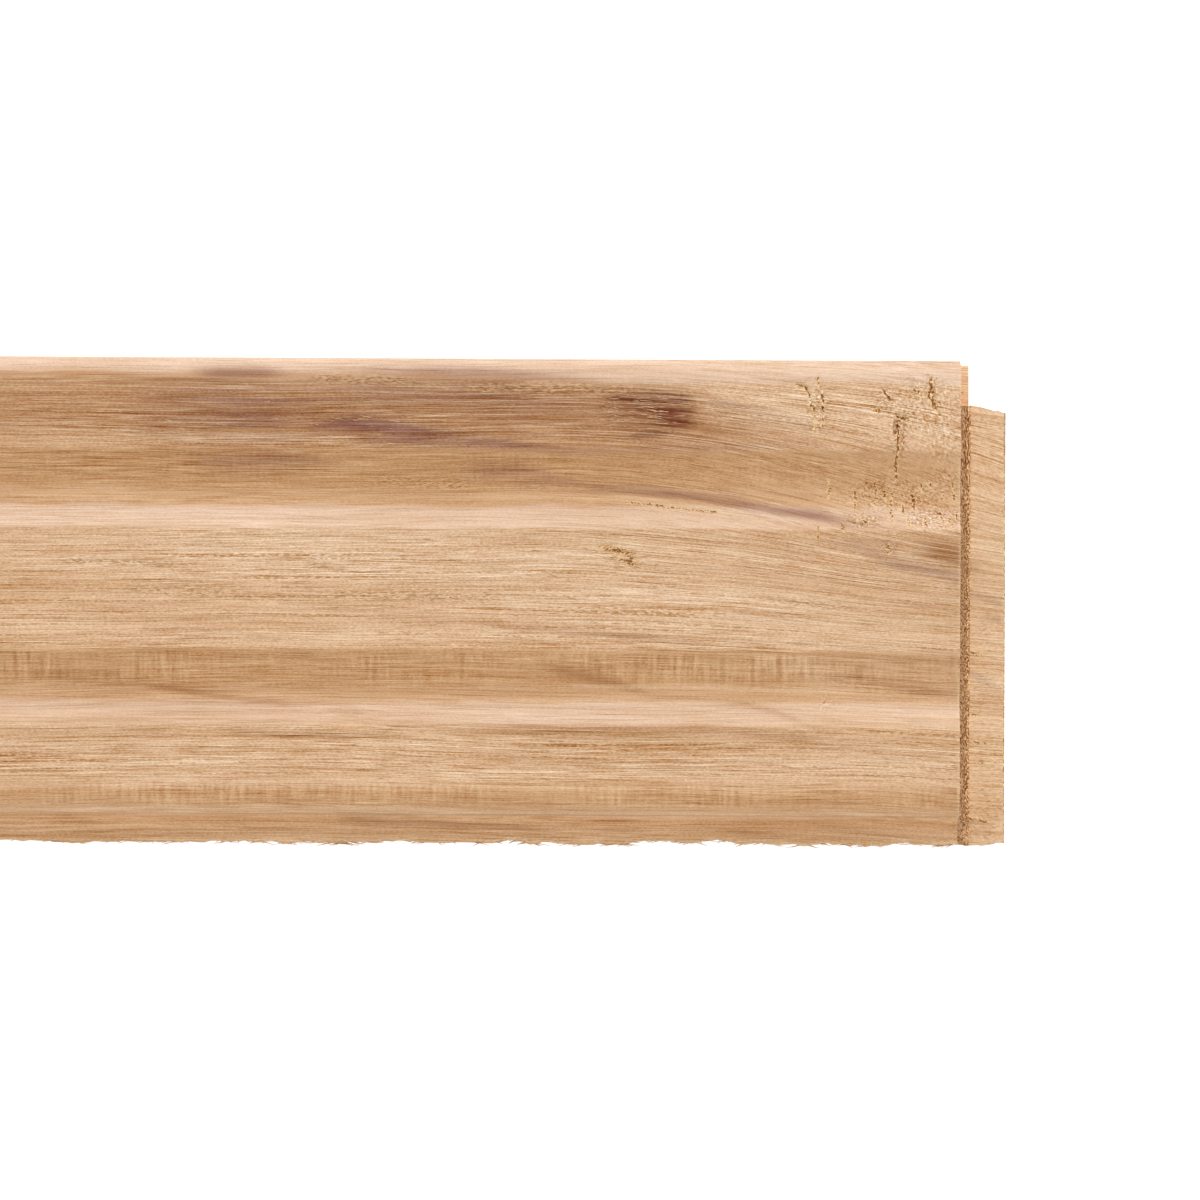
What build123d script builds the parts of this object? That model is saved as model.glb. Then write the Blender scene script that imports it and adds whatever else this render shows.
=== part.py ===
"""Solid hardwood floorboard, tongued and grooved along its sides and end-matched.

The board lies with its face down, as it is seen in the photograph, so the top is its rough
underside. X runs along the grain towards the tongued end, Y runs across the board towards the
grooved side, and Z is up. The origin is the middle of the board's outline on the floor.
Millimetres.
"""

import os

from build123d import *

# The board, without its tongues
THICKNESS = 19.05
FACE_WIDTH = 82.55
FACE_LENGTH = 914.4
FACE_EDGE_EASE = 0.5

# The tongue that the profile is cut for, and how deep it lies under the underside
TONGUE = 6.35
TONGUE_THICKNESS = 6.35
TONGUE_EDGE_RADIUS = 0.8
BACK_LIP = 4.8

# The side tongue ends early, at the rough edge of the plank that the board was cut from
SIDE_SHORTFALL = 1.35

# The underside's shoulders stand back from the face's, and slope down to their tongues
SIDE_UNDERCUT = 1.3
END_UNDERCUT = 2.3
SLOPE_HEIGHT = 3.3

# The end tongue lies a little deeper than the side tongue, and its corner is broken off
END_TONGUE_DROP = 0.6
BROKEN_CORNER = 1.3

# The grooves that take the next boards' tongues
FIT = 0.15
SIDE_GROOVE_GAP = 1.5
END_GROOVE_GAP = 0.8
END_LIP_SETBACK = 0.4
GROOVE_MOUTH_EASE = 0.4

# The underside's two hollow relief channels and its eased corners
CHANNEL_WIDTH = 13.8
CHANNEL_DEPTH = 0.9
CHANNEL_SPACING = 35.3
CHANNEL_COUNT = 2
GROOVE_SIDE_EASE = 4.0
GROOVE_SIDE_DROP = 1.0
TONGUE_SIDE_EASE = 4.8
TONGUE_SIDE_DROP = 0.6

# Places that follow from the sizes above
SIDE_TONGUE = TONGUE - SIDE_SHORTFALL
LENGTH = FACE_LENGTH + TONGUE
WIDTH = FACE_WIDTH + SIDE_TONGUE
TONGUED_END = LENGTH / 2
GROOVED_END = -LENGTH / 2
END_SHOULDER = TONGUED_END - TONGUE
GROOVED_SIDE = WIDTH / 2
TONGUED_SIDE = -WIDTH / 2
FACE_SHOULDER = TONGUED_SIDE + SIDE_TONGUE
BODY_MIDDLE = (GROOVED_SIDE + FACE_SHOULDER) / 2
BACK_SHOULDER = FACE_SHOULDER + SIDE_UNDERCUT
TONGUE_TOP = THICKNESS - BACK_LIP
TONGUE_BOTTOM = TONGUE_TOP - TONGUE_THICKNESS
END_TONGUE_TOP = TONGUE_TOP - END_TONGUE_DROP
GROOVE_FLOOR = GROOVED_SIDE - TONGUE - SIDE_GROOVE_GAP
END_GROOVE_DEPTH = TONGUE + END_GROOVE_GAP
GROOVE_BOTTOM = TONGUE_BOTTOM - FIT
CHANNEL_RADIUS = (CHANNEL_WIDTH**2 / 4 + CHANNEL_DEPTH**2) / (2 * CHANNEL_DEPTH)

# How far a cutter runs past the wood
PAST = 1.0

with BuildPart() as floorboard:
    # The moulded strip, all the way to the end of the end tongue
    with BuildSketch(Plane.YZ.offset(GROOVED_END)):
        with BuildLine():
            groove_corner = (GROOVED_SIDE, THICKNESS - GROOVE_SIDE_DROP)
            back_start = (GROOVED_SIDE - GROOVE_SIDE_EASE, THICKNESS)
            back_end = (BACK_SHOULDER + TONGUE_SIDE_EASE, THICKNESS)
            tongue_corner = (BACK_SHOULDER, THICKNESS - TONGUE_SIDE_DROP)
            TangentArc(back_start, groove_corner, tangent=(1, 0))
            Line(back_start, back_end)
            TangentArc(back_end, tongue_corner, tangent=(-1, 0))
            Polyline(
                tongue_corner,
                (BACK_SHOULDER, TONGUE_TOP + SLOPE_HEIGHT),
                (FACE_SHOULDER, TONGUE_TOP),
                (TONGUED_SIDE, TONGUE_TOP),
                (TONGUED_SIDE, TONGUE_BOTTOM),
                (FACE_SHOULDER, TONGUE_BOTTOM),
                (FACE_SHOULDER, 0),
                (GROOVED_SIDE, 0),
                groove_corner,
            )
        make_face()

        # Two relief channels, each cut by a large round cutter
        with Locations((BODY_MIDDLE, THICKNESS - CHANNEL_DEPTH + CHANNEL_RADIUS)):
            with GridLocations(CHANNEL_SPACING, 0, CHANNEL_COUNT, 1):
                Circle(CHANNEL_RADIUS, mode=Mode.SUBTRACT)
    extrude(amount=LENGTH)
    fillet(floorboard.edges().filter_by(Axis.X).group_by(Axis.Y)[0], TONGUE_EDGE_RADIUS)

    # The side groove
    with BuildSketch(Plane.YZ.offset(GROOVED_END)):
        with BuildLine():
            Polyline(
                (GROOVE_FLOOR, GROOVE_BOTTOM),
                (GROOVED_SIDE, GROOVE_BOTTOM),
                (GROOVED_SIDE, TONGUE_TOP + FIT),
                (GROOVE_FLOOR, TONGUE_TOP + FIT),
                close=True,
            )
        make_face()
    extrude(amount=LENGTH, mode=Mode.SUBTRACT)

    # The end tongue, left between the underside's sloped shoulder and the face's square one
    with BuildSketch(Plane.XZ):
        with BuildLine():
            Polyline(
                (END_SHOULDER - END_UNDERCUT, THICKNESS + PAST),
                (END_SHOULDER - END_UNDERCUT, END_TONGUE_TOP + SLOPE_HEIGHT),
                (END_SHOULDER, END_TONGUE_TOP),
                (TONGUED_END + PAST, END_TONGUE_TOP),
                (TONGUED_END + PAST, THICKNESS + PAST),
                close=True,
            )
        make_face()
        with Locations((END_SHOULDER, TONGUE_BOTTOM)):
            Rectangle(TONGUE + PAST, THICKNESS, align=(Align.MIN, Align.MAX))
    extrude(amount=WIDTH, both=True, mode=Mode.SUBTRACT)
    fillet(floorboard.edges().filter_by(Axis.Y).group_by(Axis.X)[-1], TONGUE_EDGE_RADIUS)

    # The end tongue stops at the groove's floor, with its corner broken back along the grain
    with BuildSketch(Plane.XY):
        with BuildLine():
            Polyline(
                (END_SHOULDER, GROOVE_FLOOR),
                (TONGUED_END, GROOVE_FLOOR - BROKEN_CORNER),
                (TONGUED_END + PAST, GROOVE_FLOOR - BROKEN_CORNER),
                (TONGUED_END + PAST, GROOVED_SIDE),
                (END_SHOULDER, GROOVED_SIDE),
                close=True,
            )
        make_face()
    extrude(amount=THICKNESS, mode=Mode.SUBTRACT)

    # The side groove's back lip is thin at this end, and has broken off square
    with BuildSketch(Plane.XZ.offset(-GROOVE_FLOOR)):
        with Locations((END_SHOULDER - END_UNDERCUT, GROOVE_BOTTOM)):
            Rectangle(END_UNDERCUT + PAST, THICKNESS, align=(Align.MIN, Align.MIN))
    extrude(amount=-WIDTH, mode=Mode.SUBTRACT)

    # The end groove, with its back lip cut a little shorter than the face
    with BuildSketch(Plane.XZ):
        with Locations((GROOVED_END, GROOVE_BOTTOM)):
            Rectangle(
                END_GROOVE_DEPTH,
                END_TONGUE_TOP + FIT - GROOVE_BOTTOM,
                align=(Align.MIN, Align.MIN),
            )
            Rectangle(END_LIP_SETBACK, THICKNESS, align=(Align.MIN, Align.MIN))
    extrude(amount=WIDTH, both=True, mode=Mode.SUBTRACT)

    # The grooves' mouths and the face's edges are eased
    mouths = floorboard.edges().filter_by(Axis.X).group_by(Axis.Y)[-1].sort_by(Axis.Z)[1:3]
    chamfer(mouths, GROOVE_MOUTH_EASE)
    chamfer(floorboard.faces().sort_by(Axis.Z)[0].edges(), FACE_EDGE_EASE)

floorboard.part.label = "floorboard"
os.makedirs("parts", exist_ok=True)
export_step(floorboard.part, "parts/floorboard.step")
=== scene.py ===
"""A solid hardwood floorboard, lying face down on a white table and seen straight from above."""

import math

import bmesh
import bpy
import numpy as np
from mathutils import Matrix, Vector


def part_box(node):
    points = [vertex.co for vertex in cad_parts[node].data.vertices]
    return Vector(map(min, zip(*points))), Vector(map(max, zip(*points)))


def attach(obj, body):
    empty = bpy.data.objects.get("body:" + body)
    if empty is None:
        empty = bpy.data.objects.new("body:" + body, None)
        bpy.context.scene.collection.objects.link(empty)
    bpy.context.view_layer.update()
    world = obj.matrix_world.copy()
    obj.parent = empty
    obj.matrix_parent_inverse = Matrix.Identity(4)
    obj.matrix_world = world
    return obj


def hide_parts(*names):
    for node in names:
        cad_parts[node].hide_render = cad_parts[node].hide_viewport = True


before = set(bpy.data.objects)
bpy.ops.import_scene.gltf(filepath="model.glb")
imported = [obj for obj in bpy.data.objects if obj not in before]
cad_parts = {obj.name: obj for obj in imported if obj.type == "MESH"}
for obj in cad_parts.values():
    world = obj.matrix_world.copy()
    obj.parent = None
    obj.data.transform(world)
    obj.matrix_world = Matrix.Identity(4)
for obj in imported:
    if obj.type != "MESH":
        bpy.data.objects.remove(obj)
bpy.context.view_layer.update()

# The photographer's view. The camera hangs straight above the tongued end, turned a third of a
# degree, so the board enters from the left edge and its tongued end stands clear on the right.
MM = 0.001
board_low, board_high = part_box("floorboard")
CAMERA_ALONG = 387.44
CAMERA_ACROSS = 0.80
CAMERA_HEIGHT = 587.5
VIEW_WIDTH = 213.8
CAMERA_TURN = 0.3


def placed(name, data):
    """A new object in the scene."""
    made = bpy.data.objects.new(name, data)
    bpy.context.collection.objects.link(made)
    return made


camera_data = bpy.data.cameras.new("camera")
camera_data.sensor_fit = "HORIZONTAL"
camera_data.angle = 2 * math.atan(VIEW_WIDTH / 2 / CAMERA_HEIGHT)
camera_data.clip_start = 0.01
camera_data.clip_end = 20
camera = placed("camera", camera_data)
camera.location = (CAMERA_ALONG * MM, CAMERA_ACROSS * MM, board_high[2] + CAMERA_HEIGHT * MM)
camera.rotation_euler = (0, 0, math.radians(CAMERA_TURN))
bpy.context.scene.camera = camera

# Soft studio light: an even dome, a wide lamp low beyond the grooved side, which brings up the
# relief channels and the torn fibres, and a weaker one opposite, which lights the tongue. A lamp
# has its share of the light, then its height, its width, its side and its turn, in degrees.
DOME_SHARE = 0.5
LAMPS = [("wide_lamp", 0.35, 25, 34, -1, -8), ("fill_lamp", 0.15, 55, 40, 1, 5)]
WHITE = (1, 1, 1, 1)

for name, share, elevation, spread, side, turn in LAMPS:
    lamp_data = bpy.data.lights.new(name, "SUN")
    lamp_data.energy = share * math.pi / math.sin(math.radians(elevation))
    lamp_data.angle = math.radians(spread)
    lamp = placed(name, lamp_data)
    lamp.rotation_euler = (math.radians(side * (90 - elevation)), 0, math.radians(turn))


def node(tree, kind, values=None, output=0, **settings):
    """The output of one new node, with its settings, and plain values or links for its inputs."""
    made = tree.nodes.new(kind if kind.startswith("NodeGroup") else "ShaderNode" + kind)
    for name, value in settings.items():
        setattr(made, name, value)
    for name, value in (values or {}).items():
        if isinstance(value, bpy.types.NodeSocket):
            tree.links.new(value, made.inputs[name])
        else:
            made.inputs[name].default_value = value
    return made.outputs[output] if len(made.outputs) else None


def rays_to_the_viewer(tree):
    """1 for what the camera sees directly, in a reflection or through glass, otherwise 0."""
    path = tree.nodes.new("ShaderNodeLightPath").outputs
    total = path["Is Camera Ray"]
    for ray in ("Is Glossy Ray", "Is Transmission Ray"):
        total = node(tree, "Math", {0: total, 1: path[ray]}, operation="MAXIMUM")
    return total


world = bpy.data.worlds.new("studio")
bpy.context.scene.world = world
world.use_nodes = True
sky = world.node_tree
sky.nodes.clear()
dome = node(sky, "Background", {"Color": WHITE, "Strength": DOME_SHARE})
backdrop = node(sky, "Background", {"Color": WHITE, "Strength": 1.0})
seen = node(sky, "MixShader", {0: rays_to_the_viewer(sky), 1: dome, 2: backdrop})
node(sky, "OutputWorld", {"Surface": seen})
bpy.context.scene.view_settings.view_transform = "Standard"

# The white table that the board lies on. The camera sees it as clean white paper, with only the
# board's own soft shadow on it.
TABLE_REACH = 2.0
TABLE_GLOW = 0.64
TABLE_CORNERS = [(-1, -1), (1, -1), (1, 1), (-1, 1)]


def bare_material(name):
    """A new material with nothing in it."""
    made = bpy.data.materials.new(name)
    made.use_nodes = True
    made.node_tree.nodes.clear()
    return made


table_mesh = bpy.data.meshes.new("table")
table_mesh.from_pydata(
    [(x * TABLE_REACH, y * TABLE_REACH, 0) for x, y in TABLE_CORNERS], [], [(0, 1, 2, 3)]
)
table = placed("table", table_mesh)
paper = bare_material("white_paper")
sheet = paper.node_tree
matt = node(sheet, "BsdfDiffuse", {"Color": (0.86, 0.86, 0.86, 1)})
seen = rays_to_the_viewer(sheet)
shine = node(sheet, "Math", {0: seen, 1: TABLE_GLOW}, operation="MULTIPLY")
glow = node(sheet, "Emission", {"Color": WHITE, "Strength": shine})
both = node(sheet, "AddShader", {0: matt, 1: glow})
node(sheet, "OutputMaterial", {"Surface": both})
table_mesh.materials.append(paper)


# The moulded strip: one length of solid hardwood, planed and moulded along the grain. Its section
# is a closed ring of points, and the strip is that ring repeated from end to end. The end match
# is made in the same skin, by steps in the rings at the tongued end.
THICKNESS = 19.05
GROOVED_SIDE = 43.775
FACE_WIDTH = 82.55
FACE_SHOULDER = GROOVED_SIDE - FACE_WIDTH
SIDE_UNDERCUT = 1.3
BACK_SHOULDER = FACE_SHOULDER + SIDE_UNDERCUT
TONGUE_TOP = 14.25
TONGUE_BOTTOM = 7.9
GROOVE_DEPTH = 7.85
GROOVE_FLOOR = GROOVED_SIDE - GROOVE_DEPTH
GROOVE_ROOF = 14.4
GROOVE_BOTTOM = 7.75
EDGE_EASE = 0.5
MOUTH_EASE = 0.4
SLOPE_HEIGHT = 3.3
END_TONGUE_TOP = 13.65
TONGUE_ROUND = 0.8
END_GROOVE_ROOF = END_TONGUE_TOP + 0.15
END_GROOVE_DEPTH = 7.15
END_LIP_SETBACK = 0.4
BOARD_END = board_high[0] / MM
GROOVED_END = board_low[0] / MM
# The end match was cut a little out of square, so it stays this far inside the CAD model's end
OUT_OF_SQUARE = 0.0015
TIP = BOARD_END - 0.07
TIP_ROUND = 0.5
END_TONGUE_LENGTH = 6.35
END_UNDERCUT = 2.3
FACE_END = TIP - END_TONGUE_LENGTH
BACK_END = FACE_END - END_UNDERCUT
FACE_OVERHANG = 0.25
FACE_TOP = 8.4
SKEWED_LENGTH = 30

GROOVE_SIDE_EASE = 4.0
GROOVE_SIDE_DROP = 1.0
TONGUE_SIDE_EASE = 4.8
TONGUE_SIDE_DROP = 0.6
CHANNEL_DEPTH = 0.9
# Each channel's edge towards the groove and towards the tongue, and how far its deepest line
# lies from the first to the second
CHANNELS = ((27.45, 13.35), (-8.15, -21.55))
CHANNEL_BOTTOM = 0.57
# How far back from the back shoulder the second channel's cutter jumped
CUTTER_JUMP = 109.5


def rise(value, low, high):
    """0 below low, 1 above high and a smooth rise between them."""
    t = np.clip((value - low) / (high - low), 0, 1)
    return t * t * (3 - 2 * t)


def lattice_noise(a, b, seed):
    """Smooth noise from -1 to 1 with one bump for each unit of a and of b."""
    side = 256
    values = np.random.RandomState(seed).uniform(-1, 1, (side, side))
    a0, b0 = np.floor(a).astype(int), np.floor(b).astype(int)
    fa, fb = rise(a - a0, 0, 1), rise(b - b0, 0, 1)
    a0, b0 = a0 % side, b0 % side
    a1, b1 = (a0 + 1) % side, (b0 + 1) % side
    low = values[a0, b0] * (1 - fa) + values[a1, b0] * fa
    high = values[a0, b1] * (1 - fa) + values[a1, b1] * fa
    return low * (1 - fb) + high * fb


def channel_edges(x):
    """Both channels' edges across the board, which wander a little along it."""
    edges = []
    for number, (near_groove, near_tongue) in enumerate(CHANNELS):
        wander = 0.16 * lattice_noise(x / 17, x * 0 + number, 11)
        sharp_wander = 0.22 * lattice_noise(x / 9, x * 0 + 3 + number, 12)
        edges.append((near_groove + wander, near_tongue + sharp_wander))
    return edges


def scallop(x):
    """Where the second channel's cutter jumped and bit into the next land."""
    middle = BACK_END - CUTTER_JUMP
    return np.exp(-(((x - middle) / 4.2) ** 2)) * 1.3 + rise(x, middle - 9, middle - 3) * 0.4


# Torn grain near the tongued end, where the grain runs out of the underside, and on the end
# tongue. Each tear is a crooked crack: its places, in millimetres back from the back shoulder and
# down from the grooved side, then how wide it is and how deep.
TEARS = [
    ([(5.5, 3.1), (5.3, 5.3), (5.7, 6.2), (5.3, 7), (4.7, 8.4)], 0.7, 0.4),
    ([(13.7, 5.6), (13.3, 6.2), (12.6, 7.1)], 0.6, 0.3),
    ([(8.6, 5.2), (7.8, 5.6), (7.2, 6.3)], 0.5, 0.2),
    ([(11.2, 10.1), (9.7, 10.4)], 0.6, 0.3),
    ([(11.4, 11), (11.5, 12.9)], 0.9, 0.6),
    ([(11.4, 13.4), (11.2, 15.8), (11.6, 17.8), (11.4, 21.2)], 0.5, 0.3),
    ([(12, 22.7), (12.4, 25.4), (12.3, 28.1)], 0.5, 0.2),
    ([(15.6, 9), (14.6, 9.1), (14.8, 8.5)], 0.5, 0.2),
    ([(29.2, 4.4), (27.8, 4.8), (27, 6.4), (26.8, 8.1)], 0.4, 0.3),
    ([(26.4, 8.2), (26, 10.4), (26.1, 12.6)], 0.5, 0.1),
    ([(24.9, 5.9), (24.6, 9), (24.9, 11.8)], 0.4, 0.2),
    ([(23.6, 21.6), (23.3, 23), (23.6, 24.7)], 0.4, 0.2),
    ([(19, 22.9), (18.7, 25), (18.9, 26.8)], 0.4, 0.2),
    ([(8.5, 24.1), (8.1, 26.3)], 0.5, 0.3),
    ([(30.4, 30.2), (30.2, 31.2), (29.6, 31.6)], 0.5, 0.2),
    ([(59.4, 25.5), (57, 25.8), (54.4, 26)], 0.4, 0.2),
    ([(53.5, 26.2), (48, 26.8), (42.8, 27.2)], 0.4, 0.2),
    ([(64.5, 33.6), (60.5, 34.2), (58.6, 35), (58.5, 36.6)], 0.7, 0.3),
    ([(-1.7, 51.9), (-3, 52.1), (-4.4, 52.6)], 0.5, 0.3),
    ([(-1.5, 81.8), (-3.8, 82.3), (-5.5, 82.7)], 0.5, 0.3),
]
# Short cracks, by their width: the places of both ends of each
SHORT_TEAR_DEPTH = 0.2
SHORT_TEARS = {
    0.4: [
        (17, 21.6, 16.8, 22.6), (15.3, 21.8, 15, 23.7), (10.4, 25.1, 10.2, 27.2),
        (5.4, 21.5, 5.3, 22.6), (25.5, 29.7, 25.3, 32.6), (13.6, 23.2, 13.4, 25.2), (7, 22, 6.8, 23.6),
        (3.2, 22.8, 3.1, 24.6), (9.2, 28.2, 8.9, 29.6), (0.9, 27, 0.6, 28.4), (-2, 63.1, -5.5, 63.6),
        (-3.5, 72.1, -7, 72.3),
    ],
    0.5: [
        (4.7, 8.4, 3.9, 9.6), (25.6, 3.2, 25.4, 4), (1.4, 21.7, 1, 24.8), (12.9, 32.8, 12.7, 34.4),
        (21.2, 29.3, 20.9, 30.4), (17.6, 28.3, 16.5, 29.1), (6.4, 28.3, 6, 29.3),
        (3.8, 26.9, 3.3, 28.3), (2.1, 28.1, 1.8, 29.5), (63, 35, 59, 36.4), (-1.6, 68.2, -5.4, 68.4),
    ],
}
for width, cracks in SHORT_TEARS.items():
    for back0, down0, back1, down1 in cracks:
        TEARS.append(([(back0, down0), (back1, down1)], width, SHORT_TEAR_DEPTH))
# Patches where the cutters crumbled the wood: where each one's middle is, how far it reaches
# along and across the board, and how rough it is
CRUMBLED = [
    (10.6, 13.6, 1.6, 4.4, 1),
    (10.5, 10.3, 2.2, 1.6, 0.9),
    (5.2, 5.6, 2.2, 3.6, 0.6),
    (13.4, 6.6, 2.6, 2.4, 0.6),
    (7, 8.5, 10, 7.5, 0.5),
    (3.4, 14, 4, 6, 0.5),
    (25.6, 8.6, 2.4, 6, 0.7),
    (4.6, 27.9, 7, 3.4, 0.65),
    (17.2, 28.6, 4.2, 1.8, 0.7),
    (11, 24, 13, 3.8, 0.7),
    (2.4, 21, 3, 3, 0.6),
    (12.8, 33.4, 1.8, 1.6, 0.7),
    (57, 14.6, 6, 1, 0.3),
    (62.6, 9.6, 2.4, 4.2, 0.5),
    (20, 57.6, 4, 1, 0.4),
    (24, 61, 1.6, 2.4, 0.5),
]


def near_line(x, y, places, width):
    """1 on the line through these places, falling to 0 at this width beside it."""
    back = BACK_END - x
    down = GROOVED_SIDE - y
    nearest = np.full_like(x, FACE_WIDTH)
    for (back0, down0), (back1, down1) in zip(places, places[1:]):
        run = (back1 - back0) ** 2 + (down1 - down0) ** 2
        part = (back - back0) * (back1 - back0) + (down - down0) * (down1 - down0)
        t = np.clip(part / run, 0, 1)
        off = np.hypot(back - back0 - t * (back1 - back0), down - down0 - t * (down1 - down0))
        nearest = np.minimum(nearest, off)
    return np.clip(1 - nearest / width, 0, 1)


def tear_depth(x, y):
    """How far the torn grain lies under the planed surface."""
    depth = np.zeros_like(x)
    ragged = 0.75 + 0.25 * lattice_noise(y / 0.45, x / 0.5, 22)
    for places, width, deep in TEARS:
        depth = np.maximum(depth, deep * rise(near_line(x, y, places, width), 0.1, 0.8) * ragged)
    return depth


def tear_marks(x, y):
    """1 in the middle of each crack, falling to 0 a little outside it."""
    marks = np.zeros_like(x)
    for places, width, deep in TEARS:
        strength = 0.7 + 0.3 * min(1, deep / 0.3)
        marks = np.maximum(marks, strength * near_line(x, y, places, width * 1.5))
    return marks


def crumbled(x, y):
    """How rough the wood is where the cutters crumbled it."""
    rough = np.zeros_like(x)
    for back, down, along, across, strength in CRUMBLED:
        far = np.hypot((BACK_END - x - back) / along, (GROOVED_SIDE - y - down) / across)
        rough = np.maximum(rough, strength * (1 - rise(far, 0.45, 1.0)))
    return rough


def underside(x, y):
    """Height of the rough underside, with its channels, eased corners and torn grain."""
    z = np.full_like(x, THICKNESS)
    ease = np.clip((y - (GROOVED_SIDE - GROOVE_SIDE_EASE)) / GROOVE_SIDE_EASE, 0, 1)
    z = z - GROOVE_SIDE_DROP * ease**2
    ease = np.clip((BACK_SHOULDER + TONGUE_SIDE_EASE - y) / TONGUE_SIDE_EASE, 0, 1)
    z = z - TONGUE_SIDE_DROP * ease**2
    for number, (high, low) in enumerate(channel_edges(x)):
        if number:
            low = low - scallop(x) * 0.8
        t = np.clip((high - y) / (high - low), 0, 1)
        away = np.clip(1 - t / CHANNEL_BOTTOM, 0, 1) ** 1.5
        towards = np.clip((t - CHANNEL_BOTTOM) / (1 - CHANNEL_BOTTOM), 0, 1) ** 1.8
        z = z - CHANNEL_DEPTH * (1 - away - towards)
    land = land_mask(x, y)
    coarse = lattice_noise(x / 45, y / 1.5, 31) * 0.012
    z = z + (coarse - 0.03) * land
    chatter = lattice_noise(x / 3.4, y / 9, 33) * 0.03 * chatter_mask(x, y)
    z = z + chatter - 0.08
    lumps = lattice_noise(x / 0.7, y / 0.7, 34) * 0.06 - 0.05
    return z + lumps * crumbled(x, y) - tear_depth(x, y)


def land_mask(x, y):
    """1 on the fibrous lands, 0 on the smooth channels and eased corners."""
    land = 1 - rise(y, GROOVED_SIDE - 5.2, GROOVED_SIDE - 3.4)
    land = land * rise(y, BACK_SHOULDER + 3.5, BACK_SHOULDER + 7.5)
    for high, low in channel_edges(x):
        inside = rise(y, low - 0.35, low + 0.25) * (1 - rise(y, high - 0.25, high + 0.35))
        land = land * (1 - inside)
    return land


def smoothing_and_shading_masks(x, y):
    """Painted highlight on smoothed wood that faces the lamp, painted shade on fuzzy wood facing away."""
    # Painted highlight on the grooved side's eased corner, which faces the lamp
    reach = np.interp(BACK_END - x, (0, 60, 95, 170), (3.9, 3.9, 2.6, 2.3))
    reach = reach + 0.4 * lattice_noise(x / 14, x * 0, 14)
    highlight_and_burnish = rise(y, GROOVED_SIDE - reach - 0.7, GROOVED_SIDE - reach + 0.7)
    from_tongue = y - BACK_SHOULDER
    # Painted shade on the tongue side's eased corner, which faces away from the lamp, thinned at its very
    # edge
    shaded = (1 - rise(from_tongue, 3.4, 5.6)) * 0.85
    shaded = shaded * (0.25 + 0.75 * rise(from_tongue, 0.5, 1.8))
    near_end = rise(x, BACK_END - 45, BACK_END - 15)
    far_off = 1 - rise(x, BACK_END - 110, BACK_END - 70)
    for number, (high, low) in enumerate(channel_edges(x)):
        meander = 0.35 * lattice_noise(x / 6, x * 0 + number, 13)
        foot = low + 4.2 + meander
        # Painted highlight, on wood the cutters smoothed, on the flank that faces the lamp
        lit_flank = rise(y, low - 0.1, low + 0.3) * (1 - rise(y, foot - 0.6, foot + 0.3))
        lit_flank_share = 0.82 - 0.25 * near_end - 0.22 * number * far_off
        highlight_and_burnish = np.maximum(highlight_and_burnish, lit_flank_share * lit_flank)
        foot = low + 7.0 + 2 * meander
        # Painted shade on the flank that faces away from the lamp
        dark_flank = rise(y, foot - 0.7, foot + 0.7) * (1 - rise(y, high - 0.2, high + 0.1))
        shaded = np.maximum(shaded, dark_flank * (1 - 0.4 * near_end))
        beyond_foot = rise(y, low + 3.8, low + 4.6) * (1 - rise(y, high - 0.4, high))
        shaded = np.maximum(shaded, 0.45 * beyond_foot)
    return highlight_and_burnish, shaded


def chatter_mask(x, y):
    """Cutter marks across the grain: on the shaded flank of each channel and by the tongue."""
    marks = np.zeros_like(x)
    for strength, (high, low) in zip((0.3, 1.0), channel_edges(x)):
        flank = rise(y, low + 6, low + 10) * (1 - rise(y, high - 1.2, high - 0.2))
        marks = np.maximum(marks, flank * strength)
    from_tongue = y - BACK_SHOULDER
    by_tongue = rise(from_tongue, 1, 2) * (1 - rise(from_tongue, 4.5, 6))
    return np.maximum(marks, by_tongue * 0.7)


# The tongue's outer edge is the plank's own rough edge: how far it reaches past the face
# shoulder, at these distances back from the back shoulder
RAGGED_EDGE = [
    (171, 4), (166.2, 4.2), (164.3, 4.4), (156.7, 4.5), (147.1, 4.4), (140.5, 4.1),
    (136.6, 4.3), (126.6, 3.8), (126.3, 4.3), (118, 4.4), (109.8, 4.3), (102.2, 4.2),
    (96.1, 4), (90.1, 4), (87.2, 4.3), (79.7, 3.9), (76.9, 4.2), (60.5, 4.2),
    (51.9, 3.8), (39.6, 3.7), (38.9, 4.1), (31.6, 4.3), (20.8, 4.2), (15.1, 4.5),
    (9.9, 3.9), (8.5, 3.8), (7, 4.2), (1.5, 4.3), (-2, 4.3), (-8, 3.9),
]
FURTHEST_REACH = 4.75


def tongue_reach(x):
    """How far the side tongue stands out of the face shoulder at each place along the board."""
    back = BACK_END - x
    places, reaches = np.array(RAGGED_EDGE[::-1]).T
    measured = np.interp(back, places, reaches)
    steps = 0.35 * np.round(1.5 * lattice_noise(back / 23, back * 0, 41)) / 1.5
    guessed = 4.15 + steps + 0.12 * lattice_noise(back / 6, back * 0 + 2, 42)
    reach = np.where(back > places[-1], guessed, measured)
    fine = 0.18 * lattice_noise(x / 3.1, x * 0 + 5, 43) + 0.25 * lattice_noise(x / 1.4, x * 0, 44)
    return np.minimum(reach + fine, FURTHEST_REACH)


def spaced(start, end, step):
    """Even places from start up to end, without the end itself."""
    count = max(1, int(round(abs(end - start) / step)))
    return list(start + (end - start) * np.arange(count) / count)


UNDERSIDE, SHOULDER, TONGUE, FACE, FAR_LIP, GROOVE_WALL, NEAR_LIP = range(7)
TORN_ZONE = (GROOVED_SIDE - 4.0, GROOVED_SIDE - 31.0)


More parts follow.
